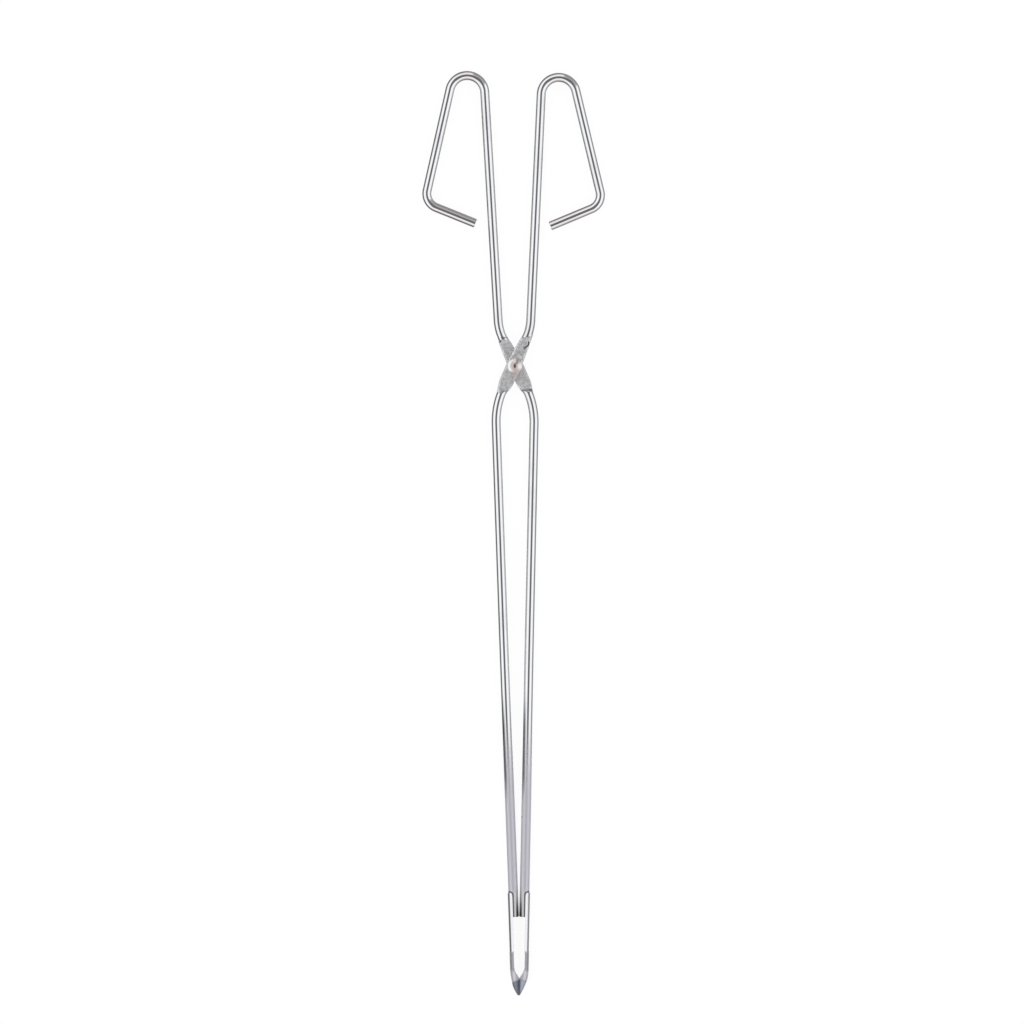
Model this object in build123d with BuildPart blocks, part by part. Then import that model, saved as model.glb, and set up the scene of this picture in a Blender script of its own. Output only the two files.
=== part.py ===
"""Long crucible tongs bent from two round wires.

The wires cross at a rivet, where each is pressed flat to half its thickness, so that both
levers lie in one plane. Above the rivet each wire is bent into an open hand loop. Below it
the wires run down to two jaws of pressed sheet, which meet in a point.

Millimetres, +Z up, with the tongs lying flat. The origin is on the rivet's axis, in the plane
that the tongs rest on. The hand loops are towards +Y and the jaws towards -Y. The tongs are
closed, and the lever that lies on top has its hand loop at +X.
"""

import os
from math import asin, atan2, cos, degrees, hypot, radians, sin, sqrt

from build123d import *

# The wire.
wire_diameter = 4.8
wire_end_chamfer = 0.25

# The blade: the stretch of each wire that is pressed flat where the levers cross.
blade_angle = 25.0  # from +Y, while the tongs are closed
blade_offset = 0.5  # the middle of the blade passes this far from the rivet's axis
blade_above = 14.7  # from the rivet to the shoulder on the handle's side
blade_below = 12.5  # from the rivet to the shoulder on the jaw's side
blade_width = 7.4  # at the rivet
blade_low_width = 7.0  # just before the shoulder on the jaw's side
blade_gap = 0.1  # between the two blades
press_depth = 0.2  # from the wire's surface down to the blade's outer face
shoulder_length = 1.8  # the ramp from the blade's inner face to the full wire
blade_edge_radius = 0.5

# The handle, as a wire bender makes it: straight lengths, bend radii and bend angles.
grip_bend_radius = 25.0
grip_lean = 3.0  # from +Y, while the tongs are closed
grip_length_over = 111.6  # the two wires are bent by hand, so the loops differ a little
grip_length_under = 112.8
loop_radius = 8.7
loop_turn = 163.9
outer_length = 51.2
corner_radius = 7.4
corner_turn = 80.8
return_length_over = 22.0
return_length_under = 21.0

# The leg, from the blade down to the jaw.
leg_bend_radius = 39.0
leg_length = 243.5
closed_gap = 0.24  # between the ends of the two wires

# The rivet.
shank_diameter = 4.0
running_clearance = 0.05  # on the radius in the top lever, and under the head
head_diameter = 7.4
head_height = 2.3
head_rim = 0.3
tail_diameter = 7.0
tail_height = 1.2
tail_edge_radius = 0.5

# The jaw: a pressed sheet gutter around the wire's end, which runs on into a pointed spoon.
sheet = 0.5
jaw_lap = 12.1  # up the wire from its end
jaw_depth = 2.4  # from the outside of the gutter to its rim
neck_length = 16.9  # from the wire's end down to a step in the rim
neck_step = 0.3
tongue_radius = 1.3  # of the rounded tongues that lie along the wire
window_length = 26.5  # from the wire's end to where the rim starts to sweep in
window_sweep = 4.0  # over which the rim sweeps in to meet the other jaw
spoon_start = 26.0  # from the wire's end to where the spoon starts to draw in
jaw_reach = 38.8  # from the wire's end to the point
jaw_gap = 0.1  # between the two jaws
tip_width = 2.6  # of the spoon at its point, across the tongs' thickness
tip_depth = 0.55  # of the spoon at its point, from the other jaw outwards
tip_wall = 2.4  # of solid metal at the point
spoon_stations = 7

# Worked out from those above.
wire_radius = wire_diameter / 2
blade_thickness = wire_radius - blade_gap / 2 - press_depth
rest_height = blade_gap / 2 + blade_thickness + tail_height  # of the wires' middle plane
jaw_radius = wire_radius + sheet
rim_inset = jaw_radius - jaw_depth  # of the gutter's rim from the wire's axis
blade_heading = Vector(sin(radians(blade_angle)), cos(radians(blade_angle)))
blade_side = Vector(-blade_heading.Y, blade_heading.X)
blade_middle = blade_side * blade_offset
handle_start = blade_middle + blade_heading * blade_above
leg_start = blade_middle - blade_heading * blade_below
past = 2 * wire_diameter  # how far a cutter reaches past what it cuts


def leg_lean():
    """How far the leg leans in, in degrees, so that the wires' ends come together."""
    sideways = -leg_start.X + leg_bend_radius * -cos(radians(blade_angle))
    target = (wire_diameter + closed_gap) / 2 - sideways
    reach = hypot(leg_length, leg_bend_radius)
    return degrees(atan2(leg_bend_radius, leg_length) - asin(target / reach))


def draw_centreline(grip_length, return_length):
    """The wire's middle line, with the end of its leg and the way that the leg points there."""
    lean = leg_lean()
    with BuildLine() as line:
        leg_bend = JernArc(leg_start, -blade_heading, leg_bend_radius, blade_angle + lean)
        leg = PolarLine(leg_bend @ 1, leg_length, direction=leg_bend % 1)
        Line(leg_start, handle_start)
        grip_bend = JernArc(handle_start, blade_heading, grip_bend_radius, blade_angle - grip_lean)
        grip = PolarLine(grip_bend @ 1, grip_length, direction=grip_bend % 1)
        loop = JernArc(grip @ 1, grip % 1, loop_radius, -loop_turn)
        outer = PolarLine(loop @ 1, outer_length, direction=loop % 1)
        corner = JernArc(outer @ 1, outer % 1, corner_radius, -corner_turn)
        PolarLine(corner @ 1, return_length, direction=corner % 1)
    return line.wires()[0], leg @ 1, (leg % 1).normalized()


leg_end, leg_heading = draw_centreline(grip_length_over, return_length_over)[1:]
leg_outward = Vector(leg_heading.Y, -leg_heading.X)


def build_blade():
    """The flattened stretch, seen from above as wide as the pressed metal spreads."""
    half, low_half = blade_width / 2, blade_low_width / 2
    top, bottom = blade_above + shoulder_length, -blade_below - shoulder_length
    low = -0.75 * blade_below
    plan = Plane(origin=blade_middle, x_dir=-blade_side, z_dir=(0, 0, 1)).offset(blade_gap / 2)
    with BuildPart() as blade:
        with BuildSketch(plan):
            with BuildLine():
                right = Spline(
                    (wire_radius, top), (half, 0), (low_half, low), (wire_radius, bottom),
                    tangents=[(0.1, -1), (-0.35, -1)],
                )
                left = Spline(
                    (-wire_radius, top), (-half, 0), (-low_half, low), (-wire_radius, bottom),
                    tangents=[(-0.1, -1), (0.35, -1)],
                )
                Line(right @ 0, left @ 0)
                Line(right @ 1, left @ 1)
            make_face()
        extrude(amount=blade_thickness)
        rims = blade.edges().filter_by(GeomType.BSPLINE)
        fillet(rims, radius=blade_edge_radius)
    return blade


def build_lever(grip_length, return_length, hole_diameter):
    """One lever, with its blade above the middle plane and its hand loop at +X."""
    centreline = draw_centreline(grip_length, return_length)[0]
    blade = build_blade()
    along = Plane(origin=blade_middle, x_dir=blade_heading, z_dir=-blade_side)
    inner_face, outer_face = blade_gap / 2, blade_gap / 2 + blade_thickness
    slope = shoulder_length / (wire_radius + inner_face)
    with BuildPart() as lever:
        with BuildSketch(Plane(origin=centreline @ 0, z_dir=centreline % 0)):
            Circle(wire_radius)
        sweep(path=centreline)
        with BuildSketch(along):
            with BuildLine():
                Polyline(
                    (-blade_below, inner_face),
                    (blade_above, inner_face),
                    (blade_above + slope * (past + inner_face), -past),
                    (-blade_below - slope * (past + inner_face), -past),
                    close=True,
                )
            make_face()
            with BuildLine():
                Polyline(
                    (-blade_below, outer_face),
                    (blade_above, outer_face),
                    (blade_above + past, outer_face + past),
                    (-blade_below - past, outer_face + past),
                    close=True,
                )
            make_face()
        extrude(amount=past, both=True, mode=Mode.SUBTRACT)
        add(blade.part)
        with Locations((0, 0, outer_face)):
            Hole(hole_diameter / 2, depth=outer_face + past)
        ends = lever.edges().filter_by(GeomType.CIRCLE).filter_by(
            lambda edge: min(
                (edge.arc_center - centreline @ 0).length, (edge.arc_center - centreline @ 1).length
            ) < wire_end_chamfer
        )
        chamfer(ends, wire_end_chamfer)
    return lever


def station(distance):
    """A plane across the jaw, this far past the wire's end, with x pointing outwards."""
    return Plane(
        origin=leg_end + leg_heading * distance, x_dir=leg_outward, z_dir=leg_heading
    )


def drawn_in(start, drop, distance):
    """A size that stays at start and then falls by drop along an arc, to the spoon's point."""
    length = jaw_reach - spoon_start
    arc_radius = (length**2 + drop**2) / (2 * drop)
    along = max(0, distance - spoon_start)
    return start - (arc_radius - sqrt(arc_radius**2 - along**2))


def face_at(distance):
    """How far out of the wire's axis the jaw's flat face lies there. It is negative."""
    return (leg_end.X + leg_heading.X * distance + jaw_gap / 2) / -leg_outward.X


def draw_jaw_section(distance, inset):
    """The jaw's outline across its length, smaller by inset and open past the flat face."""
    face = -abs(face_at(distance))
    tip_outside = tip_depth - abs(face_at(jaw_reach))
    outside = drawn_in(jaw_radius, jaw_radius - tip_outside, distance) - inset
    half = drawn_in(jaw_radius, jaw_radius - tip_width / 2, distance) - inset
    drawn = max(0, distance - spoon_start) / (jaw_reach - spoon_start)
    middle = 0.9 * drawn * face
    open_end = face - wire_radius - inset
    with BuildSketch(station(distance)) as section:
        with BuildLine():
            back = EllipticalCenterArc((middle, 0), outside - middle, half, -90, arc_size=180)
            Polyline(back @ 1, (open_end, half), (open_end, -half), back @ 0)
        make_face()
    return section.sketch


def build_jaw_body(inset, top, bottom):
    """The jaw as a solid, or the hollow in it, between two distances past the wire's end."""
    steps = [step / (spoon_stations - 1) for step in range(spoon_stations)]
    spoon = [draw_jaw_section(spoon_start + (bottom - spoon_start) * step, inset) for step in steps]
    with BuildPart() as body:
        extrude(draw_jaw_section(top, inset), amount=spoon_start - top)
        loft(spoon)
    return body


def build_jaw():
    """The jaw on the lever that lies on top, with the wire's axis in the plane z = 0."""
    top, rim = -jaw_lap, jaw_radius - jaw_depth
    body = build_jaw_body(0, top - past, jaw_reach)
    hollow = build_jaw_body(sheet, top - 2 * past, jaw_reach - tip_wall)
    front = Plane(origin=leg_end, x_dir=leg_outward, z_dir=(0, 0, -1))
    tongue_top = -top - tongue_radius
    bottom = -jaw_reach - past
    with BuildPart() as jaw:
        add(body.part)
        add(hollow.part, mode=Mode.SUBTRACT)
        with BuildSketch(front):
            with BuildLine():
                tongue = ThreePointArc(
                    (rim, tongue_top),
                    (rim + tongue_radius, -top),
                    (rim + 2 * tongue_radius, tongue_top),
                )
                Polyline(
                    tongue @ 1,
                    (past, tongue_top),
                    (past, bottom),
                    (face_at(-bottom), bottom),
                    (face_at(window_length + window_sweep), -window_length - window_sweep),
                    (rim + neck_step, -window_length),
                    (rim + neck_step, -neck_length),
                    (rim, -neck_length),
                    tongue @ 0,
                )
            make_face()
        extrude(amount=past, both=True, mode=Mode.INTERSECT)
    return jaw


def build_rivet():
    """The rivet through both blades. It stands on its peened tail at z = 0."""
    under_face = tail_height
    over_face = rest_height + blade_gap / 2 + blade_thickness + running_clearance
    head_radius, tail_radius = head_diameter / 2, tail_diameter / 2
    top, rim_top = over_face + head_height, over_face + head_rim
    dome_height = head_height - head_rim
    dome_radius = (head_radius**2 + dome_height**2) / (2 * dome_height)
    halfway = asin(head_radius / dome_radius) / 2
    with BuildPart() as rivet:
        with BuildSketch(Plane.XZ):
            with BuildLine():
                dome = ThreePointArc(
                    (0, top),
                    (dome_radius * sin(halfway), top - dome_radius * (1 - cos(halfway))),
                    (head_radius, rim_top),
                )
                Polyline(
                    dome @ 1,
                    (head_radius, over_face),
                    (shank_diameter / 2, over_face),
                    (shank_diameter / 2, under_face),
                    (tail_radius, under_face),
                    (tail_radius, 0),
                    (0, 0),
                    dome @ 0,
                )
            make_face()
        revolve()
        fillet(rivet.edges().group_by(Axis.Z)[0], radius=tail_edge_radius)
    rivet.part.label = "pivot_rivet"
    return rivet


def place_over(made, label):
    """Lift a piece of the lever that lies on top to its height above the resting plane."""
    with BuildPart() as placed:
        with Locations((0, 0, rest_height)):
            add(made.part)
    placed.part.label = label
    return placed


def place_under(made, label):
    """Turn the same piece over, about the tongs' length, for the lever that lies underneath."""
    with BuildPart() as placed:
        with Locations(Location((0, 0, rest_height), (0, 180, 0))):
            add(made.part)
    placed.part.label = label
    return placed


def main():
    """Build the five pieces, closed and in place, and write each to its own file."""
    loose_hole = shank_diameter + 2 * running_clearance
    over = build_lever(grip_length_over, return_length_over, loose_hole)
    under = build_lever(grip_length_under, return_length_under, shank_diameter)
    jaw = build_jaw()
    pieces = [
        place_over(over, "lever_over"),
        place_over(jaw, "jaw_left"),
        place_under(under, "lever_under"),
        place_under(jaw, "jaw_right"),
        build_rivet(),
    ]
    os.makedirs("parts", exist_ok=True)
    for piece in pieces:
        size = piece.part.bounding_box().size
        print(piece.part.label, piece.part.is_valid, len(piece.part.solids()), size)
        export_step(piece.part, f"parts/{piece.part.label}.step")


main()
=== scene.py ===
# %% [markdown]
# # Long crucible tongs
#
# Two lengths of round wire cross at a rivet. Each is bent into a hand loop at one end and holds a
# jaw of pressed sheet at the other. Everything is bright nickel plate over steel, so the picture
# is made of reflections: the shapes have to be smooth, and the light has to be designed.
#
# The measured model is loaded first. New pieces are made over it, in the same place, and each
# rides on the half of the tongs that it belongs to. Lengths are in millimetres while a mesh is
# being made, and in metres in objects and in shaders.

# %% Load the measured model
from math import acos, atan2, cos, degrees, pi, radians, sin, sqrt, tan

import bmesh
import bpy
from mathutils import Matrix, Vector


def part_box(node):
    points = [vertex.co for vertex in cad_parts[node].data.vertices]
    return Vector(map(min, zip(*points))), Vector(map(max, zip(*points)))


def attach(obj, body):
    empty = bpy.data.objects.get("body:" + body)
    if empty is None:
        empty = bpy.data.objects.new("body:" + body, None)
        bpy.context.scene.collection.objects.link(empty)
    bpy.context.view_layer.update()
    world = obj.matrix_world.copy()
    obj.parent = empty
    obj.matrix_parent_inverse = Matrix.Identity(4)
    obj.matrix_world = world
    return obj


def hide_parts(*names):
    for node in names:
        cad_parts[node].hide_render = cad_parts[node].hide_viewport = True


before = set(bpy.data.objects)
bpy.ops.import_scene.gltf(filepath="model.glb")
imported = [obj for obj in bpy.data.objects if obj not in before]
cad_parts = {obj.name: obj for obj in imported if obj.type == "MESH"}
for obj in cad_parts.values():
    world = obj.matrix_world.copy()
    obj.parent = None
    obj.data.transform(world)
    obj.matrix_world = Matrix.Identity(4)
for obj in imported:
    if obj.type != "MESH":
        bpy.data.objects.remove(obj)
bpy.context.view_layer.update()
mm = 0.001

# %% [markdown]
# ## A wire bender
#
# A wire bender feeds a straight wire and turns it around a former. The same two moves make the
# mesh: a ring of edges is extruded for each straight length, and spun about the former's axis for
# each bend. A curve with a bevel would be quicker, but rings that know their own place can be
# pressed flat afterwards, which is what happens to the real wire where the levers cross.
#
# Each vertex also remembers where it was on the straight wire, before any bend. Scratches are
# drawn in those coordinates, so they follow the wire around its bends. Three more values wait on
# the vertices for the steps that follow: how pressed the metal is there, how deep in a crease it
# lies, and how much shade is painted on it.

# %% The wire bender
wire_radius = 2.4
wire_sides = 40
wire_end_chamfer = 0.25


class Bender:
    """Feeds a wire in millimetres, in the XY plane. The pen's x axis points along the wire."""

    def __init__(self):
        self.mesh = bmesh.new()
        self.unbent = self.mesh.verts.layers.float_vector.new("unbent")
        self.pressed = self.mesh.verts.layers.float.new("pressed")
        self.cleft = self.mesh.verts.layers.float.new("cleft")
        self.painted_shade = self.mesh.verts.layers.float.new("painted_shade")
        self.pen = Matrix.Identity(4)
        self.fed = 0.0
        self.rings = []
        across = Matrix.Rotation(pi / 2, 4, "Y")
        small = wire_radius - wire_end_chamfer
        bmesh.ops.create_circle(
            self.mesh, cap_ends=True, segments=wire_sides, radius=small, matrix=across
        )
        self.ring = list(self.mesh.edges)
        self.mark()
        self.feed(wire_end_chamfer, pieces=1, growth=wire_radius / small)

    def mark(self):
        """Note where the newest ring is, and where its vertices were on the straight wire."""
        verts = {v for edge in self.ring for v in edge.verts}
        place = self.pen.inverted()
        for v in verts:
            local = place @ v.co
            v[self.unbent] = Vector((self.fed, local.y, local.z)) * mm
        self.rings.append((self.fed, self.pen.copy(), list(verts)))

    def feed(self, length, pieces, growth=1.0):
        """Feed the wire straight. Growth makes each new ring wider or narrower."""
        for _ in range(pieces):
            made = bmesh.ops.extrude_edge_only(self.mesh, edges=self.ring)["geom"]
            verts = [item for item in made if isinstance(item, bmesh.types.BMVert)]
            step = Matrix.Translation((length / pieces, 0, 0))
            bmesh.ops.translate(self.mesh, vec=self.pen.to_3x3() @ step.translation, verts=verts)
            self.pen = self.pen @ step
            grow = (1, growth, growth)
            bmesh.ops.scale(self.mesh, vec=grow, space=self.pen.inverted(), verts=verts)
            self.take(made, verts, length / pieces)

    def bend(self, radius, angle, pieces):
        """Feed the wire around a former. A positive angle turns it to the left."""
        side = 1 if angle > 0 else -1
        centre = self.pen @ Vector((0, side * radius, 0))
        turn = radians(angle) / pieces
        for _ in range(pieces):
            verts = list({v for edge in self.ring for v in edge.verts})
            made = bmesh.ops.spin(
                self.mesh, geom=verts + self.ring, cent=centre, axis=(0, 0, 1), angle=turn,
                steps=1, use_merge=False, use_normal_flip=False, use_duplicate=False,
            )["geom_last"]
            about = Matrix.Translation(centre) @ Matrix.Rotation(turn, 4, "Z")
            self.pen = about @ Matrix.Translation(-centre) @ self.pen
            verts = [item for item in made if isinstance(item, bmesh.types.BMVert)]
            self.take(made, verts, radius * abs(turn))

    def take(self, made, verts, length):
        """Make the new ring the one that the next move starts from."""
        new = set(verts)
        edges = [item for item in made if isinstance(item, bmesh.types.BMEdge)]
        self.ring = [edge for edge in edges if new.issuperset(edge.verts)]
        self.fed += length
        self.mark()

    def close(self):
        """Chamfer the wire's last end and close it."""
        small = wire_radius - wire_end_chamfer
        self.feed(wire_end_chamfer, pieces=1, growth=small / wire_radius)
        bmesh.ops.contextual_create(self.mesh, geom=self.ring)


print("a ring has", wire_sides, "sides")

# %% [markdown]
# ## The levers' bends
#
# Both levers are the same job: a short return, a tight corner, the long outer side of the hand
# loop, the loop's round top, the grip, a bend into the blade, and the bow of the leg. They were
# bent by hand, so one grip is a little longer than the other.
#
# The blade is the stretch that is pressed to half its thickness. It is fed in fine steps, and
# near its heels in finer ones, so that there are enough rings to shape.

# %% Bend the two wires
corner_radius, corner_angle = 7.4, 80.8
loop_side, loop_radius, loop_angle = 51.2, 8.7, 163.9
grip_lean, shoulder_radius = 3.0, 25.0
blade_angle, blade_offset = 25.0, 0.5
blade_above, blade_below, heel_zone = 14.7, 12.5, 3.6
leg_length, leg_bend_radius = 243.5, 39.0
closed_gap = 0.14


def lean_for_gap():
    """The angle at which the leg leans in, so that the two wires' ends come close together."""
    heading = Vector((sin(radians(blade_angle)), cos(radians(blade_angle))))
    start = Vector((-heading.y, heading.x)) * blade_offset - heading * blade_below
    sideways = -start.x - leg_bend_radius * cos(radians(blade_angle))
    reach = sqrt(leg_length**2 + leg_bend_radius**2)
    target = wire_radius + closed_gap / 2 - sideways
    return degrees(atan2(leg_bend_radius, leg_length) - (pi / 2 - acos(target / reach)))


leg_lean = lean_for_gap()


def bend_lever(grip_length, return_length):
    """One whole wire, with the place of its blade's middle."""
    wire = Bender()
    wire.feed(return_length - wire_end_chamfer, pieces=5)
    wire.bend(corner_radius, corner_angle, pieces=24)
    wire.feed(loop_side, pieces=10)
    wire.bend(loop_radius, loop_angle, pieces=44)
    wire.feed(grip_length, pieces=22)
    wire.bend(shoulder_radius, grip_lean - blade_angle, pieces=34)
    wire.feed(heel_zone, pieces=24)
    wire.feed(blade_above - heel_zone, pieces=36)
    wire.middle, wire.middle_pen = wire.fed, wire.pen.copy()
    wire.feed(blade_below - heel_zone, pieces=30)
    wire.feed(heel_zone, pieces=24)
    wire.bend(leg_bend_radius, blade_angle + leg_lean, pieces=60)
    wire.feed(leg_length - wire_end_chamfer, pieces=48)
    wire.close()
    return wire


over_wire = bend_lever(grip_length=111.6, return_length=22.0)
under_wire = bend_lever(grip_length=112.8, return_length=21.0)
print("leg leans", round(leg_lean, 3), "degrees; wire fed", round(over_wire.fed, 1), "mm;",
      len(over_wire.rings), "rings")

# %% [markdown]
# ## Pressing the blades
#
# In the press the round wire becomes a flat bar with rounded edges. It spreads sideways, and its
# inner face moves to the wire's middle, so that two blades stack to one wire's thickness. Each
# ring is mixed from its circle to a rounded rectangle. Near the shoulders the mix runs out: fast
# on the outer face, where the die leaves a heel, and over a short slope on the inner face. The
# wire lay a little askew in the die, so the heels cross it at a slant, and the inner face has a
# low ridge in front of its heel.
#
# Shade is painted against the heels, and along the edge of the upper blade where it lies on the
# lower one. How much is kept on the vertices.

# %% Press the blades
blade_gap, press_depth = 0.1, 0.2
inner_face, outer_face = blade_gap / 2, wire_radius - press_depth
pressed_reach = (-17, 19)
outer_slope, inner_slope, finish_edge = 0.35, 1.4, 0.4
edge_square, side_square = 0.62, 0.38
smoothing = (-1.2, -0.6, 0, 0.6, 1.2)
blade_widths = [(-14.3, 2.4), (-12.2, 3.0), (-9.4, 3.5), (0, 3.7), (9, 3.1), (16.5, 2.4)]
# Each heel: how far past the blade's end it lies, its slant, and for one of them its hollow
outer_lower_heel, outer_upper_heel = (2.3, 2.1, 2.4), (0.6, 1.8)
inner_lower_heel, inner_upper_heel = (0.25, 1.2), (-2.1, 1.5)
burr_height, burr_rise, burr_fall = 0.12, (0.0, 0.35), (0.45, 0.9)


def ramp(value, low, high):
    """Rises smoothly from 0 at low to 1 at high."""
    t = min(max((value - low) / (high - low), 0), 1)
    return t * t * (3 - 2 * t)


def band(value, rise, fall):
    """Rises smoothly from 0 to 1 over one range, and falls back over another."""
    return ramp(value, *rise) * (1 - ramp(value, *fall))


def blade_half_width(along):
    """Half the blade's width, as the metal spreads, along the handle from the rivet."""
    for (a, low), (b, high) in zip(blade_widths, blade_widths[1:]):
        if along <= b:
            t = min(max((along - a) / (b - a), 0), 1)
            return low + (high - low) * t
    return wire_radius


def inside_heels(along, y):
    """How far inside its heels a point is: the outer face's lower heel and both, then the inner's."""
    past, slant, hollow = outer_lower_heel
    outer_lower = along + blade_below + past - slant * y - hollow * y * y
    past, slant = outer_upper_heel
    outer = min(outer_lower, blade_above + past - along + slant * y)
    past, slant = inner_lower_heel
    inner_lower = along + blade_below + past - slant * y
    past, slant = inner_upper_heel
    inner = min(inner_lower, blade_above + past - along + slant * y)
    return outer_lower, outer, inner_lower, inner


def outer_painted_shade(lower, along, y):
    """Painted shade by the outer face's lower heel, and on the edge that lies on the other blade."""
    line = band(lower, (-0.3, 0.0), (0.8, 1.1)) * ramp(y, -0.3, 0.1)
    edge = ramp(y, 0.5, 0.7) * band(along, (-10.5, -9.0), (-3.5, -2.5))
    return max(line, edge * 0.5)


def inner_painted_shade(lower):
    """Painted shade on the slope below the inner face's lower heel."""
    return band(lower, (-1.4, -1.1), (-0.35, -0.1))


def press_blade(wire):
    """Press the rings around the crossing flat."""
    middle_z, half_thick = (inner_face + outer_face) / 2, (outer_face - inner_face) / 2
    for fed, pen, verts in wire.rings:
        along = wire.middle - fed
        if not pressed_reach[0] < along < pressed_reach[1]:
            continue
        half_width = sum(blade_half_width(along + step) for step in smoothing) / len(smoothing)
        for v in verts:
            y, z = v[wire.unbent].y / mm / wire_radius, v[wire.unbent].z / mm / wire_radius
            outer_lower, inside_outer, inner_lower, inside_inner = inside_heels(along, y)
            outer = ramp(inside_outer, -outer_slope, 0.0)
            inner = ramp(inside_inner, -inner_slope, 0.0)
            share = inner + (outer - inner) * (0.5 + 0.5 * z)
            squarer = 1 - edge_square * (inner + outer) / 2
            flat_y = half_width * (abs(y) ** squarer) * (1 if y > 0 else -1)
            flat_z = middle_z + half_thick * abs(z) ** side_square * (1 if z > 0 else -1)
            raised = wire_radius * z + (flat_z - wire_radius * z) * share
            if z < 0:
                raised -= burr_height * band(inner_lower, burr_rise, burr_fall)
            v.co = pen @ Vector((0, flat_y, raised))
            v[wire.pressed] = outer if z > 0 else ramp(inside_inner, -finish_edge, 0.0)
            on_top = z > -0.1
            # painted shade against the heels and along the edge that lies on the other blade
            v[wire.painted_shade] = outer_painted_shade(outer_lower, along, y) if on_top else inner_painted_shade(inner_lower)


for wire in (over_wire, under_wire):
    press_blade(wire)
print("pressed", sum(1 for fed, pen, verts in over_wire.rings if verts[0][over_wire.pressed]))

# %% [markdown]
# ## The lap in the upper blade
#
# Near the shoulder of the upper blade the metal has folded over itself. It left a crooked cleft
# by the edge, which runs out into a shallow crease beside the rivet. A bump map would vanish from
# the side, so the faces around it are divided finely and the cleft is pushed in. Its depth is kept on
# the vertices, and the finish paints shade into the cleft and the crease by that.

# %% Push in the cleft and the crease
crease_half_width, crease_depth, crease_reach, crease_wall = 0.42, 0.45, 0.8, 0.7
outer_side = 0.8
cleft_path = [(13.7, 1.7), (12.9, 2.1), (11.8, 2.2), (10.9, 1.7), (10.1, 1.35), (8.5, 1.1)]
fold_path = [(8.5, 1.1), (7.1, 1.3), (5.4, 2.1), (4.0, 2.9)]


def from_path(spot, path):
    """How far a flat point is from a path of straight runs."""
    nearest = 100.0
    for a, b in zip(path, path[1:]):
        run = b - a
        share = min(max((spot - a).dot(run) / run.dot(run), 0), 1)
        nearest = min(nearest, (spot - a - run * share).length)
    return nearest


def push_crease(wire, points, strength):
    """Divide the outer face around a path on the blade, and sink the vertices that are on it."""
    path = [Vector((-along, across)) for along, across in points]
    place = wire.middle_pen.inverted()

    def near(vert, reach):
        spot = place @ vert.co
        return spot.z > outer_side and from_path(spot.xy, path) < reach

    close = {v for v in wire.mesh.verts if near(v, crease_reach)}
    edges = [edge for edge in wire.mesh.edges if close.issuperset(edge.verts)]
    bmesh.ops.subdivide_edges(wire.mesh, edges=edges, cuts=2, use_grid_fill=True)
    for v in wire.mesh.verts:
        if near(v, crease_half_width):
            inside = 1 - from_path((place @ v.co).xy, path) / crease_half_width
            sunk = ramp(inside, 0, crease_wall) * strength
            v.co.z -= crease_depth * max(sunk - v[wire.cleft], 0)
            v[wire.cleft] = max(sunk, v[wire.cleft])


push_crease(over_wire, cleft_path, strength=1.0)
push_crease(over_wire, fold_path, strength=0.35)
print("creased vertices", sum(1 for v in over_wire.mesh.verts if v[over_wire.cleft] > 0))

# %% [markdown]
# ## The rivet's holes
#
# Both blades are punched. The mesh is cut the way a punch cuts: the faces inside a disc are taken
# out on both sides, their ragged rims are bridged to two clean circles, and the circles to each
# other. A boolean would do it too, but would leave slivers along the round edge.

# %% Punch the holes
shank_radius, running_clearance = 2.0, 0.05
hole_sides, hole_margin, facing_up = 48, 0.5, 0.6


def punch_hole(wire, radius):
    """A round hole through the blade, where the rivet's axis passes it."""
    centre = wire.middle_pen @ Vector((0, blade_offset, 0))

    def inside_disc(face, side):
        off = (face.calc_center_median() - centre).xy.length
        return face.normal.z * side > facing_up and off < radius + hole_margin

    circles = []
    for side, height in ((1, outer_face), (-1, inner_face)):
        inside = [face for face in wire.mesh.faces if inside_disc(face, side)]
        rim = {edge for face in inside for edge in face.edges}
        bmesh.ops.delete(wire.mesh, geom=inside, context="FACES")
        rim = [edge for edge in rim if edge.is_valid and edge.is_boundary]
        where = Matrix.Translation((centre.x, centre.y, height))
        ring = bmesh.ops.create_circle(
            wire.mesh, segments=hole_sides, radius=radius, matrix=where
        )["verts"]
        circle = list({edge for v in ring for edge in v.link_edges})
        bmesh.ops.bridge_loops(wire.mesh, edges=rim + circle)
        circles += circle
    bmesh.ops.bridge_loops(wire.mesh, edges=circles)


for wire, radius in ((over_wire, shank_radius + running_clearance), (under_wire, shank_radius)):
    bmesh.ops.recalc_face_normals(wire.mesh, faces=wire.mesh.faces)
    punch_hole(wire, radius)
    print("hole punched; open edges:", sum(1 for edge in wire.mesh.edges if edge.is_boundary))

# %% [markdown]
# ## Placing the levers
#
# The blade's middle goes beside the rivet, at the angle it has while the tongs are closed. The
# other lever is the same wire turned over about the tongs' length. Hand bending left both legs
# bowed a little to one side, so their ends and the jaws are moved over by less than half a
# millimetre, and the nose comes back to the middle.

# %% Place the levers, and make objects of them
rest_height = 3.4
smooth_below = radians(34)
bow, bow_start, bow_end = 0.4, (120, 265), (302.5, 307.5)


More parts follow.
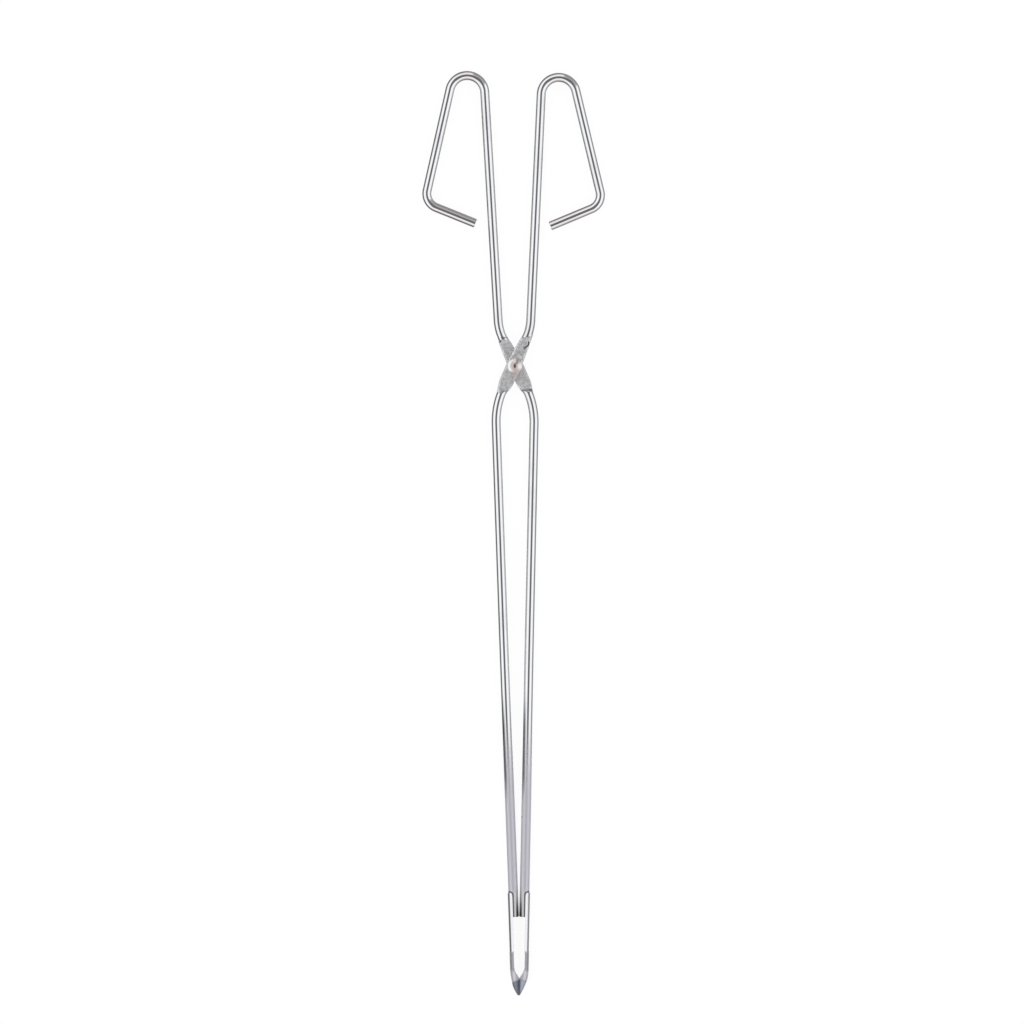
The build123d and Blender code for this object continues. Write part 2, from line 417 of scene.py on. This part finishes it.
def make_object(mesh, name, body, slot_name, *nodes):
    """Turn a bmesh in millimetres into an object that stands for CAD nodes and rides a body."""
    bmesh.ops.scale(mesh, vec=(mm, mm, mm), verts=mesh.verts)
    bmesh.ops.recalc_face_normals(mesh, faces=mesh.faces)
    for face in mesh.faces:
        face.smooth = True
    for edge in mesh.edges:
        edge.smooth = not edge.is_manifold or edge.calc_face_angle() < smooth_below
    data = bpy.data.meshes.new(name)
    mesh.to_mesh(data)
    mesh.free()
    made = bpy.data.objects.new(name, data)
    bpy.context.scene.collection.objects.link(made)
    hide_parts(*nodes)
    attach(made, body)
    for node in nodes:
        low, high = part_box(node)
        new = [Vector(v.co) for v in data.vertices]
        gaps = [min(v[i] for v in new) - low[i] for i in range(3)]
        gaps += [max(v[i] for v in new) - high[i] for i in range(3)]
        print(name, len(data.polygons), "faces; off the measured box by",
              [round(gap / mm, 2) for gap in gaps], "mm")
    return made


def bow_aside(mesh):
    """Move both legs' ends and the jaws a little to +X."""
    for v in mesh.verts:
        v.co.x += bow * band(-v.co.y, bow_start, bow_end)


def lever_place(turned_over):
    """Where a lever's blade goes: the pen at the blade's middle, in the tongs' frame."""
    heading = radians(-90 - blade_angle)
    beside = Matrix.Rotation(heading, 4, "Z") @ Matrix.Translation((0, -blade_offset, 0))
    over = Matrix.Rotation(pi if turned_over else 0, 4, "Y") @ beside
    return Matrix.Translation((0, 0, rest_height)) @ over


def place_lever(wire, turned_over):
    """Move the bent wire so that its blade is in place."""
    move = lever_place(turned_over) @ wire.middle_pen.inverted()
    bmesh.ops.transform(wire.mesh, matrix=move, verts=wire.mesh.verts)
    bow_aside(wire.mesh)


place_lever(over_wire, False)
place_lever(under_wire, True)
lever_over = make_object(over_wire.mesh, "wire_lever_over", "over_half", "plated_wire", "lever_over")
lever_under = make_object(
    under_wire.mesh, "wire_lever_under", "under_half", "plated_wire", "lever_under"
)

# %% [markdown]
# ## The jaws' die
#
# Each jaw starts as a flat blank of sheet metal and is pressed in a die: half of it is a gutter
# around the wire's end, and the rest a pointed spoon. The mesh is made in the same way. A flat grid
# is the blank, and one function says where the die puts each point of it.

# %% The shape of the die
sheet = 0.5
jaw_lap, jaw_depth = 12.1, 2.4
neck_length, neck_step, neck_run = 16.9, 0.3, 0.15
tongue_radius, tongue_blend = 1.3, 5.0
window_length, window_sweep = 26.5, 4.0
spoon_start, jaw_reach, spoon_shift = 26.0, 38.8, 0.9
jaw_gap, tip_width, tip_depth, tip_wall = 0.02, 2.6, 0.55, 2.4
jaw_radius = wire_radius + sheet
end_corner_drop = 0.07
leg_end_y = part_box("lever_over")[0].y / mm + end_corner_drop
leg_end = Vector((-wire_radius - closed_gap / 2, leg_end_y, 0))
leg_heading = Vector((sin(radians(leg_lean)), -cos(radians(leg_lean)), 0))
leg_outward = Vector((-cos(radians(leg_lean)), -sin(radians(leg_lean)), 0))


def face_at(distance):
    """The flat face between the jaws, as a distance out from the wire's axis. It is negative."""
    return (leg_end.x + leg_heading.x * distance + jaw_gap / 2) / -leg_outward.x


def drawn_in(start, drop, distance):
    """A size that stays at start, then falls by drop along an arc to the spoon's point."""
    length = jaw_reach - spoon_start
    arc_radius = (length**2 + drop**2) / (2 * drop)
    along = max(0, distance - spoon_start)
    return start - (arc_radius - sqrt(arc_radius**2 - along**2))


def rim_at(distance):
    """Where the sheet's rim lies, out from the wire's axis."""
    stepped = ramp(distance, neck_length - neck_run, neck_length + neck_run)
    rim = jaw_radius - jaw_depth + neck_step * stepped
    swept = min(max((distance - window_length) / window_sweep, 0), 1)
    return rim + (min(face_at(distance), rim) - rim) * swept


def die_point(distance, across, inset):
    """Where the die puts a point of the blank. Across runs from -1 at one rim to 1 at the other."""
    tip_outside = tip_depth + face_at(jaw_reach)
    outside = drawn_in(jaw_radius, jaw_radius - tip_outside, distance) - inset
    half = drawn_in(jaw_radius, jaw_radius - tip_width / 2, distance) - inset
    drawn = max(0, distance - spoon_start) / (jaw_reach - spoon_start)
    middle = spoon_shift * drawn * face_at(distance)
    rim, bulge = rim_at(distance), outside - middle
    turn = acos(min(max((rim - middle) / bulge, 0), 1))
    arc = turn * (bulge + half) / 2
    flat = max(middle - rim, 0)
    at = abs(across) * (arc + flat)
    side = 1 if across > 0 else -1
    if at <= arc:
        angle = turn * at / arc
        return Vector((middle + bulge * cos(angle), side * half * sin(angle)))
    return Vector((middle - (at - arc), side * half))


print("spoon's point is", round(-face_at(jaw_reach), 2), "mm inside the wire's axis")

# %% [markdown]
# ## Pressing the jaws
#
# The sheet has two skins, so the blank is pressed twice, the second time smaller by the sheet's
# thickness, and the two are bridged along their edges. That leaves a closed solid with a real rim.
# A single skin with a solidify modifier would be thinner to write, but would thicken the sharp
# rims unevenly.

# %% Press two skins and bridge them
def press_skin(mesh, inset, end):
    """One skin of the sheet, from the tongues to the point."""
    rows, columns = 96, 26
    made = bmesh.ops.create_grid(mesh, x_segments=columns, y_segments=rows, size=1.0)["verts"]
    for v in made:
        across = v.co.x
        distance = -jaw_lap + (v.co.y + 1) / 2 * (end + jaw_lap)
        out = die_point(max(distance, 0), across, 0)
        if distance < tongue_blend - jaw_lap:
            lobe = tongue_radius**2 - (out.x - jaw_radius + jaw_depth - tongue_radius) ** 2
            drop = tongue_radius - sqrt(max(lobe, 0))
            distance += drop * (1 - ramp(distance, -jaw_lap, tongue_blend - jaw_lap))
        at = die_point(distance, across, inset)
        spot = leg_end + leg_heading * distance + leg_outward * at.x
        v.co = Vector((spot.x, spot.y, at.y))


def press_jaw():
    """Both skins, joined along the rim, the tongues and the point."""
    mesh = bmesh.new()
    press_skin(mesh, 0, jaw_reach)
    press_skin(mesh, sheet, jaw_reach - tip_wall)
    rims = [edge for edge in mesh.edges if edge.is_boundary]
    bmesh.ops.bridge_loops(mesh, edges=rims)
    return mesh


def place_piece(mesh, turned_over):
    """Lift a piece of the upper half to its height, or turn it over for the lower half."""
    over = Matrix.Rotation(pi if turned_over else 0, 4, "Y")
    move = Matrix.Translation((0, 0, rest_height)) @ over
    bmesh.ops.transform(mesh, matrix=move, verts=mesh.verts)
    bow_aside(mesh)
    return mesh


jaw_left = make_object(
    place_piece(press_jaw(), False), "sheet_jaw_left", "over_half", "jaw_sheet", "jaw_left"
)
jaw_right = make_object(
    place_piece(press_jaw(), True), "sheet_jaw_right", "under_half", "jaw_sheet", "jaw_right"
)

# %% [markdown]
# ## The rivet
#
# The rivet is turned: its outline is drawn once and spun about its axis. The head is a blunt cone
# with a round point and a short upright rim, and the far end is peened over into a flat button. The
# blow that set it left the point a little narrower across the tongs than along them.

# %% Turn the rivet
rivet_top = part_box("pivot_rivet")[1].z / mm
head_radius, head_round = 3.7, 0.35
point_radius, cone_slope = 4.0, radians(30)
point_pinch, pinch_start, pinch_end = 0.2, 0.6, 2.8
tail_radius, tail_height = 3.5, 1.2
rivet_sides, tail_rim, sharp_above = 72, 0.12, radians(50)
over_face = rest_height + outer_face + running_clearance


def head_outline():
    """The head from its point outwards: a round point, a cone, and a rounded rim."""
    slopes = [cone_slope * step / 8 for step in range(9)]
    point = [(point_radius * sin(a), rivet_top - point_radius * (1 - cos(a))) for a in slopes]
    rim_middle = head_radius - head_round
    rim_start = rim_middle + head_round * sin(cone_slope)
    fall = (rim_start - point[-1][0]) * tan(cone_slope)
    rim_height = point[-1][1] - fall - head_round * cos(cone_slope)
    angles = [cone_slope + (pi / 2 - cone_slope) * step / 6 for step in range(7)]
    rim = [(rim_middle + head_round * sin(a), rim_height + head_round * cos(a)) for a in angles]
    return point + rim + [(head_radius, over_face)]


def pinch_point(mesh):
    """Narrow the head's point along X."""
    for v in mesh.verts:
        if v.co.z > over_face + 1:
            v.co.x *= 1 - point_pinch * (1 - ramp(v.co.xy.length, pinch_start, pinch_end))


def turn_rivet():
    """Spin the outline into a closed solid with rounded rims."""
    mesh = bmesh.new()
    outline = head_outline() + [(shank_radius, over_face), (shank_radius, tail_height)]
    outline += [(tail_radius, tail_height), (tail_radius, 0.0), (0, 0.0)]
    verts = [mesh.verts.new((radius, 0, height)) for radius, height in outline]
    edges = [mesh.edges.new(pair) for pair in zip(verts, verts[1:])]
    bmesh.ops.spin(
        mesh, geom=verts + edges, cent=(0, 0, 0), axis=(0, 0, 1), angle=2 * pi, steps=rivet_sides,
        use_merge=True, use_normal_flip=False, use_duplicate=False,
    )
    bmesh.ops.remove_doubles(mesh, verts=mesh.verts, dist=0.001)
    pinch_point(mesh)
    rims = [
        edge for edge in mesh.edges
        if edge.is_manifold and edge.calc_face_angle() > sharp_above
        and edge.verts[0].co.xy.length > 3 and edge.verts[0].co.z < over_face + 1
    ]
    bmesh.ops.bevel(
        mesh, geom=rims, offset=tail_rim, segments=3, profile=0.5, affect="EDGES", material=-1
    )
    return mesh


rivet = make_object(turn_rivet(), "pivot_rivet_turned", "under_half", "rivet", "pivot_rivet")

# %% [markdown]
# ## Shader maths
#
# The finishes are sums of noises and masks. A small class lets them be written as sums: it wraps
# a node's output, and each operator adds the Math node that does the same. A mask is a value that
# goes from 0 to 1, and most of them are places on the object, so those are given in millimetres.

# %% Write shader nodes as expressions
class Wire:
    """An output of a node, with the operators that the finishes use."""

    def __init__(self, tree, socket):
        self.tree, self.socket = tree, socket

    def node(self, kind, settings=None, **inputs):
        """Add a node, set it up, link or set its inputs, and return it."""
        made = self.tree.nodes.new(kind)
        for name, value in (settings or {}).items():
            setattr(made, name, value)
        for name, value in inputs.items():
            key = int(name[1:]) if name[1:].isdigit() else name.replace("_", " ")
            target = made.inputs[key]
            if isinstance(value, Wire):
                self.tree.links.new(value.socket, target)
            else:
                target.default_value = value
        return made

    def out(self, kind, output, settings=None, **inputs):
        """Add a node and wrap one of its outputs."""
        return Wire(self.tree, self.node(kind, settings, **inputs).outputs[output])

    def into(self, shader, name):
        """Link this value to one of a shader's inputs."""
        self.tree.links.new(self.socket, shader.inputs[name])

    def math(self, operation, first, second=0.0):
        """A Math node on one or two values."""
        return self.out("ShaderNodeMath", 0, {"operation": operation}, i0=first, i1=second)

    def vector(self, operation, output, other=(0, 0, 0)):
        """A Vector Math node on this vector and another."""
        settings = {"operation": operation}
        return self.out("ShaderNodeVectorMath", output, settings, i0=self, i1=other)

    def __add__(self, other):
        return self.math("ADD", self, other)

    def __sub__(self, other):
        return self.math("SUBTRACT", self, other)

    def __rsub__(self, other):
        return self.math("SUBTRACT", other, self)

    def __mul__(self, other):
        return self.math("MULTIPLY", self, other)

    def __abs__(self):
        return self.math("ABSOLUTE", self)

    __radd__, __rmul__ = __add__, __mul__

    def sign(self):
        return self.math("SIGN", self)

    def root(self):
        return self.math("SQRT", self)

    def at_least(self, other):
        return self.math("MAXIMUM", self, other)

    def within(self, low, high):
        """Rises smoothly from 0 at low to 1 at high."""
        settings = {"interpolation_type": "SMOOTHSTEP"}
        return self.out("ShaderNodeMapRange", 0, settings, i0=self, i1=low, i2=high, i3=0.0, i4=1.0)

    def within_mm(self, low, high):
        """The same, for a length, with both ends in millimetres."""
        return self.within(low * mm, high * mm)

    def mixed(self, low, high):
        """A colour that goes from low to high as this value goes from 0 to 1."""
        pair = [c if isinstance(c, Wire) else (*c, 1.0) for c in (low, high)]
        settings = {"data_type": "RGBA"}
        return self.out("ShaderNodeMix", 2, settings, i0=self, i6=pair[0], i7=pair[1])

    def attribute(self, name, output="Fac"):
        """A value that waits on the mesh's vertices."""
        return self.out("ShaderNodeAttribute", output, {"attribute_name": name})

    def bump(self, strength, height):
        """A normal tilted by this relief, whose full height is given in millimetres."""
        return self.out("ShaderNodeBump", 0, Strength=strength, Distance=height * mm, Height=self)


def start_finish(name):
    """A new material, its shader, and a wrapped Texture Coordinate to build on."""
    material = bpy.data.materials.new(name)
    material.use_nodes = True
    tree = material.node_tree
    shader = tree.nodes["Principled BSDF"]
    coords = tree.nodes.new("ShaderNodeTexCoord")
    return material, shader, Wire(tree, coords.outputs["Object"])


def noise(coords, scale, detail=3.0, roughness=0.5):
    """A noise between 0 and 1."""
    return coords.out(
        "ShaderNodeTexNoise", 0, Vector=coords, Scale=scale, Detail=detail, Roughness=roughness
    )


def separated(coords):
    """A vector's three parts."""
    parts = coords.node("ShaderNodeSeparateXYZ", Vector=coords)
    return [Wire(coords.tree, parts.outputs[i]) for i in range(3)]


def stretched(coords, x, y, z):
    """The same coordinates, stretched by a factor along each axis."""
    return coords.vector("MULTIPLY", 0, (x, y, z))


def flat_length(x, y):
    """The length of a flat vector."""
    return (x * x + y * y).root()


def paint(piece, material):
    """Give a piece its one material."""
    piece.data.materials.clear()
    piece.data.materials.append(material)


print("shader helpers ready")

# %% [markdown]
# ## Bright plate on drawn wire
#
# Nickel plate is a slightly warm mirror. What makes it believable is what spoils the mirror: fine
# scratches along the wire from drawing, faint dull patches where hands rub it, and the matte,
# mottled faces that the press leaves on the blades. Towards the jaws the plate has been heated
# often, and is duller and a little grey-violet. Where that begins, each leg has a dark stripe on its
# left side, a painted reflection. Painted shade, with some braze stain, lies beside the jaws'
# tongues, painted shade lies between the wires' ends, and there is one speck of rust on the right
# leg.

# %% The plated wire
heat_fades, jaws_near = (-212, -168), (-264, -257)
reflected_stripe_starts, reflected_stripe_ends = (-218, -200), (-180, -158)
reflected_stripe_left, reflected_stripe_right = (0.6, 1.4), (2.0, 2.4)
tongue_shade_and_stain, between_wires_shade_side, between_wires_shade_top = (1.6, 2.4), (-1.4, -0.6), (-272.2, -255.2)
rust_spot, rust_size = Vector((1.75, -222.8, rest_height + 1.3)) * mm, (0.3, 0.8)
under_rivet_shadow_size, under_rivet_shadow_top, under_rivet_shadow_long = (3.0, 4.2), (-3, 1), 0.62
plate, heated_plate, jaw_plate = (0.83, 0.83, 0.845), (0.60, 0.59, 0.64), (0.76, 0.75, 0.78)
worn_plate, under_rivet_shadow_tint = (0.62, 0.61, 0.63), (0.86, 0.74, 0.73)
blade_dark, blade_light = (0.60, 0.60, 0.61), (0.95, 0.95, 0.96)
painted_cleft_shade, shade_and_stain_black, reflected_stripe_black = (0.03, 0.03, 0.035), (0.05, 0.05, 0.055), (0.10, 0.10, 0.11)
painted_shade_grey, rust_brown = (0.30, 0.30, 0.33), (0.10, 0.07, 0.05)


def from_leg(x, y):
    """How far a point is from the nearer leg's axis: outward, and towards -X."""
    x = x - (0 - y).within_mm(*bow_start) * (bow * mm)
    axis = (y - leg_end.y * mm) * tan(radians(leg_lean)) - leg_end.x * mm
    return abs(x) - axis, axis * x.sign() - x


def shade_and_stain_by_jaws(outward, y):
    """Painted shade, with some braze stain, beside each tongue, and painted shade between the wires
    where they enter the jaws.
    """
    lobe_height = (leg_end.y + jaw_lap - tongue_radius) * mm
    lobe_out = (jaw_radius - jaw_depth + tongue_radius) * mm
    # painted shade with some braze stain along each tongue, and painted shade between the wires
    from_lobe = flat_length(outward - lobe_out, (y - lobe_height).at_least(0.0))
    line = 1 - from_lobe.within_mm(*tongue_shade_and_stain)
    between = (1 - outward.within_mm(*between_wires_shade_side)) * (1 - y.within_mm(*between_wires_shade_top))
    return (line * 0.9).at_least(between)


def blade_colour(place, y, cleft, mottling):
    """The pressed face: mottled, with a painted pinkish shadow below the rivet, and painted shade in
    the cleft.
    """
    from_rivet = stretched(place, 1, under_rivet_shadow_long, 0).vector("LENGTH", "Value")
    # painted pinkish shadow on the blade below the rivet
    under_rivet_shadow = (1 - from_rivet.within_mm(*under_rivet_shadow_size)) * (1 - y.within_mm(*under_rivet_shadow_top))
    blade = mottling.within(0.36, 0.64).mixed(blade_dark, blade_light)
    blade = (under_rivet_shadow * 0.7).mixed(blade, under_rivet_shadow_tint)
    # painted shade in the cleft and the crease, as deep as they are sunk
    return (cleft * 0.9).mixed(blade, painted_cleft_shade)


def plated_wire():
    """The levers' finish."""
    material, shader, place = start_finish("plated_wire")
    unbent = place.attribute("unbent", "Vector")
    pressed, cleft, painted_shade = [place.attribute(name) for name in ("pressed", "cleft", "painted_shade")]
    x, y, _ = separated(place)
    outward, leftward = from_leg(x, y)
    heated = 1 - y.within_mm(*heat_fades)
    # painted reflection: a dark stripe along each leg's left side, where the heat tint begins
    reflected_stripe = leftward.within_mm(*reflected_stripe_left) * (1 - leftward.within_mm(*reflected_stripe_right))
    reflected_stripe = reflected_stripe * y.within_mm(*reflected_stripe_starts) * (1 - y.within_mm(*reflected_stripe_ends))
    drawn = noise(stretched(unbent, 60, 2600, 2600), 1.0, 4)
    dull = noise(place, 55, 4, 0.6).within(0.5, 0.72)
    mottle = noise(place, 1500, 5, 0.65)
    dimples = noise(place, 520, 3)
    colour = heated.mixed(plate, heated_plate)
    colour = (1 - y.within_mm(*jaws_near)).mixed(colour, jaw_plate)
    colour = (dull * 0.3).mixed(colour, worn_plate)
    blade = blade_colour(place, y, cleft, mottle * 0.6 + dimples * 0.4)
    colour = (reflected_stripe * 0.85).mixed(pressed.mixed(colour, blade), reflected_stripe_black)
    # painted shade: darker against the heels and along the upper blade's edge
    colour = (painted_shade * 0.85).mixed(colour, painted_shade_grey)
    rust = 1 - place.vector("DISTANCE", "Value", rust_spot).within_mm(*rust_size)
    colour = rust.mixed(colour, rust_brown)
    # painted shade by the jaws, partly braze stain beside the tongues
    shade_and_stain_by_jaws(outward, y).mixed(colour, shade_and_stain_black).into(shader, "Base Color")
    smooth = 0.07 + drawn * 0.05 + dull * 0.06 + heated * 0.36
    (smooth + (mottle * 0.16 + 0.43 - smooth) * pressed).into(shader, "Roughness")
    relief = drawn * (1 - pressed) * 0.12 + mottle * pressed * 0.9 + dimples * pressed * 0.8
    relief.bump(0.5, 0.04).into(shader, "Normal")
    (1 - heated * 0.5).into(shader, "Metallic")
    return material


wire_finish = plated_wire()
for lever in (lever_over, lever_under):
    paint(lever, wire_finish)
print("levers painted; leg's axis leans", round(leg_lean, 2), "degrees")

# %% [markdown]
# ## The jaws' sheet
#
# The sheet has the same plate, with marks along it from the die. The lower half, which is held in
# the flame, has gone dusky, and the closed nose is stained dark blue-grey, darker to the left of
# the seam. Painted shade makes it nearly black along the seam between the two jaws.

# %% The jaw's sheet
dusk_top, dusk_end, nose_top = (-289.2, -287.6), (-299, -297), (-302.2, -301.0)
nose_middle, nose_slant = 1.0 * mm, 0.45
seam_middle, seam_width, facet_edge = 0.1 * mm, (0.2, 1.1), (0.2, 1.2)
ragged_height = 1.6 * mm
clean_light, clean_dark = (0.84, 0.84, 0.86), (0.74, 0.74, 0.77)
dusk_dark, dusk_light, dusk_pale = (0.30, 0.295, 0.33), (0.44, 0.435, 0.47), (0.60, 0.59, 0.63)
nose_left, nose_right = (0.24, 0.26, 0.32), (0.46, 0.49, 0.57)
seam_shade_black, blotch_blue = (0.09, 0.09, 0.12), (0.13, 0.14, 0.19)


def jaw_sheet():
    """The jaws' finish."""
    material, shader, place = start_finish("jaw_sheet")
    x, y, _ = separated(place)
    blotches = noise(place, 900, 4, 0.6)
    drawn = noise(stretched(place, 3000, 90, 3000), 1.0, 4)
    torn = y + noise(place, 500, 3) * ragged_height
    scorched = 1 - torn.within_mm(*dusk_top)
    stained = 1 - (torn + abs(x - nose_middle) * nose_slant).within_mm(*nose_top)
    seam = 1 - abs(x - seam_middle).within_mm(*seam_width)
    clean = blotches.mixed(clean_light, clean_dark)
    dusky = blotches.mixed(dusk_dark, dusk_light)
    dusky = (1 - torn.within_mm(*dusk_end)).mixed(dusky, dusk_pale)
    # painted shade, nearly black, along the seam between the two jaws
    dark = seam.mixed(x.within_mm(*facet_edge).mixed(nose_left, nose_right), seam_shade_black)
    dark = (blotches * 0.5).mixed(dark, blotch_blue)
    stained.mixed(scorched.mixed(clean, dusky), dark).into(shader, "Base Color")
    rough = 0.12 + drawn * 0.08 + scorched * 0.16 + blotches * stained * 0.2
    rough.into(shader, "Roughness")
    (drawn * 0.2 + blotches * 0.5).bump(0.4, 0.03).into(shader, "Normal")
    (1 - scorched * 0.55).into(shader, "Metallic")
    return material


sheet_finish = jaw_sheet()
for jaw in (jaw_left, jaw_right):
    paint(jaw, sheet_finish)
print("jaws painted")

# %% [markdown]
# ## The rivet's plate
#
# The rivet is plated too, and its cone is a warm pink-grey: partly the plate's own tint, partly a
# painted reflection of warm light. Painted highlights brighten it at the left, right and top, and a
# painted dark reflection sits on the blunt point.

# %% The rivet's finish
highlight_ring, outer_highlight_ring = (2.0, 2.7), (3.1, 3.5)
left_fade, left_low = (-1.5, 0.6), (-3.4, -1.6)
right_side, right_low = (0.9, 2.2), (-2.4, -0.6)
top_height, top_width, top_middle = (1.4, 2.1), (0.5, 1.2), -0.1 * mm
dark_reflection_size, dark_reflection_narrow = (0.7, 1.4), 3.2
pink_tint_and_reflection_light, pink_tint_and_reflection_dark, right_painted_highlight = (0.68, 0.60, 0.59), (0.50, 0.43, 0.43), (0.86, 0.80, 0.79)
top_painted_highlight, rim_painted_highlight, dark_reflection_brown = (0.98, 0.95, 0.94), (0.92, 0.92, 0.92), (0.24, 0.19, 0.17)


def rivet_plate():
    """The rivet's finish."""
    material, shader, place = start_finish("rivet_plate")
    x, y, _ = separated(place)
    blotches = noise(place, 700, 4, 0.6)
    out = flat_length(x, y)
    # painted highlights: a bright crescent at the left, a faint ring all round, light patches at
    # right and top
    left = (1 - x.within_mm(*left_fade)) * y.within_mm(*left_low)
    rim = out.within_mm(*highlight_ring) * left + out.within_mm(*outer_highlight_ring) * 0.25
    right = x.within_mm(*right_side) * y.within_mm(*right_low)
    top = y.within_mm(*top_height) * (1 - abs(x - top_middle).within_mm(*top_width))
    # warm pink-grey: partly the plate's own tint, partly a painted reflection of warm light
    pink_tint_and_reflection = right.mixed(blotches.mixed(pink_tint_and_reflection_light, pink_tint_and_reflection_dark), right_painted_highlight)
    colour = rim.mixed((top * 0.9).mixed(pink_tint_and_reflection, top_painted_highlight), rim_painted_highlight)
    # painted dark reflection on the blunt point
    from_point = (x * x * dark_reflection_narrow + y * y).root()
    from_point.within_mm(*dark_reflection_size).mixed(dark_reflection_brown, colour).into(shader, "Base Color")
    (0.31 + blotches * 0.12).into(shader, "Roughness")
    blotches.bump(0.35, 0.04).into(shader, "Normal")
    shader.inputs["Metallic"].default_value = 1.0
    return material


paint(rivet, rivet_plate())
print("rivet painted")

# %% [markdown]
# ## The light tent
#
# Mirror metal shows whatever stands around it. Here it lies in a white tent. Overhead is the slot
# that the camera looks through: that is the dark line along the middle of each wire. One panel is
# left half open like a door, and greys the sides that face it. Both ends, along Y, are warm and a
# little dimmer. The tent is open around its foot, which draws the dark outlines. The white table
# below is bright again, and lights the very edges.
#
# The tent is the world's light, so it is written as directions: each part is a mask on the way
# that light comes from.

# %% The tent
wall_foot, wall_light = (0.04, 0.38), 1.14
slot_side, slot_end, slot_low, slot_dark = (0.27, 0.46), (0.36, 0.52), (0.2, 0.4), 0.86
door_x, door_y, door_width = 0.60, 0.80, 0.93
door_edge, door_top, door_dark = (-0.02, 0.02), (0.80, 0.92), 0.62
far_ends, far_dark = (0.55, 0.95), 0.25
table_edge, table_light = (-0.80, -0.62), 0.9
foot_left, foot_right_extra, foot_turn = 0.17, 0.16, (-0.4, 0.4)
cool_white, warm_white = (0.985, 0.99, 1.0), (1.0, 0.91, 0.88)


def light_tent():
    """The world's light."""
    world = bpy.data.worlds.new("light_tent")
    bpy.context.scene.world = world
    world.use_nodes = True
    tree = world.node_tree
    background = tree.nodes["Background"]
    way = Wire(tree, tree.nodes.new("ShaderNodeTexCoord").outputs["Generated"])
    x, y, z = separated(way)
    walls = z.within(*wall_foot)
    slot = (1 - abs(x).within(*slot_side)) * (1 - abs(y).within(*slot_end)) * z.within(*slot_low)
    door = (x * door_x + y * door_y - flat_length(x, y) * door_width).within(*door_edge)
    door = door * (1 - z.within(*door_top))
    far = abs(y).within(*far_ends)
    light = walls * (1 - slot * slot_dark) * (1 - door * door_dark) * (1 - far * far_dark)
    foot = foot_left + x.within(*foot_turn) * foot_right_extra
    light = light * wall_light + (1 - z.within(*table_edge)) * table_light + foot * (1 - walls)
    light.into(background, "Strength")
    far.mixed(cool_white, warm_white).into(background, "Color")


light_tent()
print("tent hung")

# %% [markdown]
# ## The floor
#
# The tongs lie on white paper that curves up far away, all around. The paper gives off its own
# light, so that it is nearly white with only a breath of shadow. The metal doesn't mirror this
# paper, because it mirrors the tent's own foot and table.

# %% The floor
floor_radius, floor_grey, floor_glow = 6.0, 0.12, 0.91
cove = ((1.2, 0.25), (1.1, 0.9), (0.7, 2.0), (0.2, 4.0))


def floor_paper():
    """The floor's finish."""
    material, shader, _ = start_finish("floor_paper")
    shader.inputs["Base Color"].default_value = (floor_grey, floor_grey, floor_grey, 1)
    shader.inputs["Roughness"].default_value = 0.9
    shader.inputs["Specular IOR Level"].default_value = 0.1
    shader.inputs["Emission Color"].default_value = (1, 1, 1, 1)
    shader.inputs["Emission Strength"].default_value = floor_glow
    return material


def lay_floor():
    """A disc, with a rim that is extruded outwards and up in four steps."""
    mesh = bmesh.new()
    bmesh.ops.create_circle(mesh, cap_ends=True, segments=96, radius=floor_radius)
    rim = [edge for edge in mesh.edges if edge.is_boundary]
    for out, up in cove:
        made = bmesh.ops.extrude_edge_only(mesh, edges=rim)["geom"]
        verts = [item for item in made if isinstance(item, bmesh.types.BMVert)]
        growth = 1 + out / verts[0].co.xy.length
        bmesh.ops.scale(mesh, vec=(growth, growth, 1), verts=verts)
        bmesh.ops.translate(mesh, vec=(0, 0, up), verts=verts)
        new = set(verts)
        rim = [e for e in made if isinstance(e, bmesh.types.BMEdge) and new.issuperset(e.verts)]
    for face in mesh.faces:
        face.smooth = True
    data = bpy.data.meshes.new("floor")
    mesh.to_mesh(data)
    mesh.free()
    floor = bpy.data.objects.new("floor", data)
    bpy.context.scene.collection.objects.link(floor)
    floor.visible_glossy = False
    paint(floor, floor_paper())


lay_floor()
print("floor laid")

# %% [markdown]
# ## The camera
#
# The camera looks straight down at the tongs from well above, through a long lens, so the legs
# look parallel. It is turned by a third of a degree, as the tongs lie slightly askew.

# %% The camera
frame_width, camera_distance = 506 * mm, 2.6
frame_middle, camera_roll = Vector((-1.38, -72.1, rest_height)) * mm, radians(-0.36)
sensor_width = 36.0


def place_camera():
    """A camera that looks straight down."""
    camera = bpy.data.objects.new("camera", bpy.data.cameras.new("camera"))
    bpy.context.scene.collection.objects.link(camera)
    camera.data.sensor_width = sensor_width
    camera.data.lens = sensor_width * camera_distance / frame_width
    camera.data.clip_end = 60
    above = Matrix.Translation(frame_middle + Vector((0, 0, camera_distance)))
    camera.matrix_world = Matrix.Rotation(camera_roll, 4, "Z") @ above
    bpy.context.scene.camera = camera


place_camera()
bpy.context.scene.view_settings.view_transform = "Standard"

for leftover in ("Cube", "Light", "Camera"):
    if leftover in bpy.data.objects:
        bpy.data.objects.remove(bpy.data.objects[leftover])
print("camera placed")
